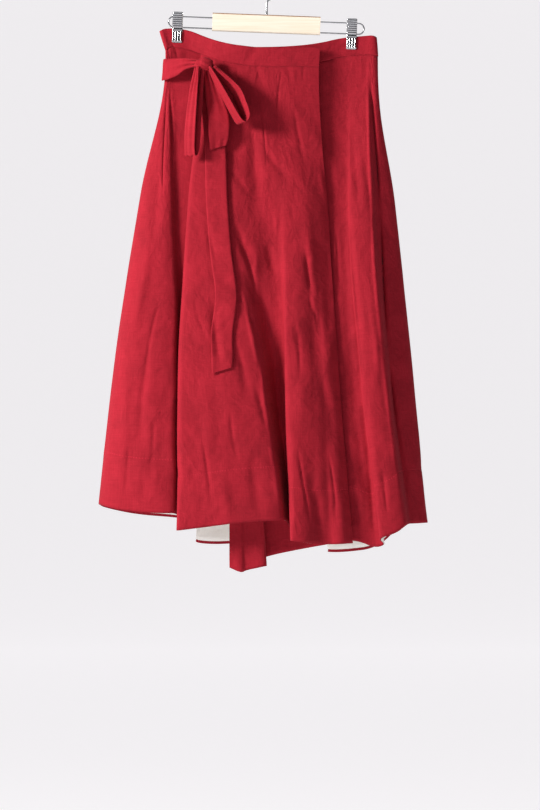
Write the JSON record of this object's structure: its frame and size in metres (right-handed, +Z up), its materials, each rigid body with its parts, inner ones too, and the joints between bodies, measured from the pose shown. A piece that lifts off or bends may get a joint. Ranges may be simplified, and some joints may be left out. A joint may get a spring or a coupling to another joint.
{
  "type": "wrap skirt on a clip hanger",
  "caption": "Long lined linen wrap skirt with a waistband, a side pleat and a bow tie, hanging by its waistband from a wooden bar hanger with sprung clips.",
  "frame": {"origin": "top of the inside of the hanger's hook, where it rests on a rail", "axes": "+Z up, the front of the skirt faces -Y, +X is to the right seen from the front"},
  "size_m": [0.5771, 0.1557, 1.0432],
  "materials": {
    "red_linen": "matte",
    "cream_linen": "matte",
    "pale_wood": "satin",
    "chrome": "polished"
  },
  "bodies": {
    "root": {"waistbandOver": "red_linen", "waistbandBack": "red_linen", "waistbandUnder": "red_linen", "panelFrontOver": "red_linen", "panelBack": "red_linen", "panelFrontUnder": "red_linen", "tieKnot": "red_linen", "tieBelt": "red_linen", "tieLoopLeft": "red_linen", "tieLoopRight": "red_linen", "tieTailShort": "red_linen", "tieTailLong": "red_linen", "bandLiningOver": "cream_linen", "bandLiningBack": "cream_linen", "bandLiningUnder": "cream_linen", "liningFrontOver": "cream_linen", "liningBack": "cream_linen", "liningFrontUnder": "cream_linen", "hangerBar": "pale_wood", "hangerHook": "chrome", "hangerWireLeft": "chrome", "hangerWireRight": "chrome", "clipLeftJawFront": "chrome", "clipLeftJawBack": "chrome", "clipLeftSpring": "chrome", "clipRightJawFront": "chrome", "clipRightJawBack": "chrome", "clipRightSpring": "chrome"}
  },
  "joints": []
}
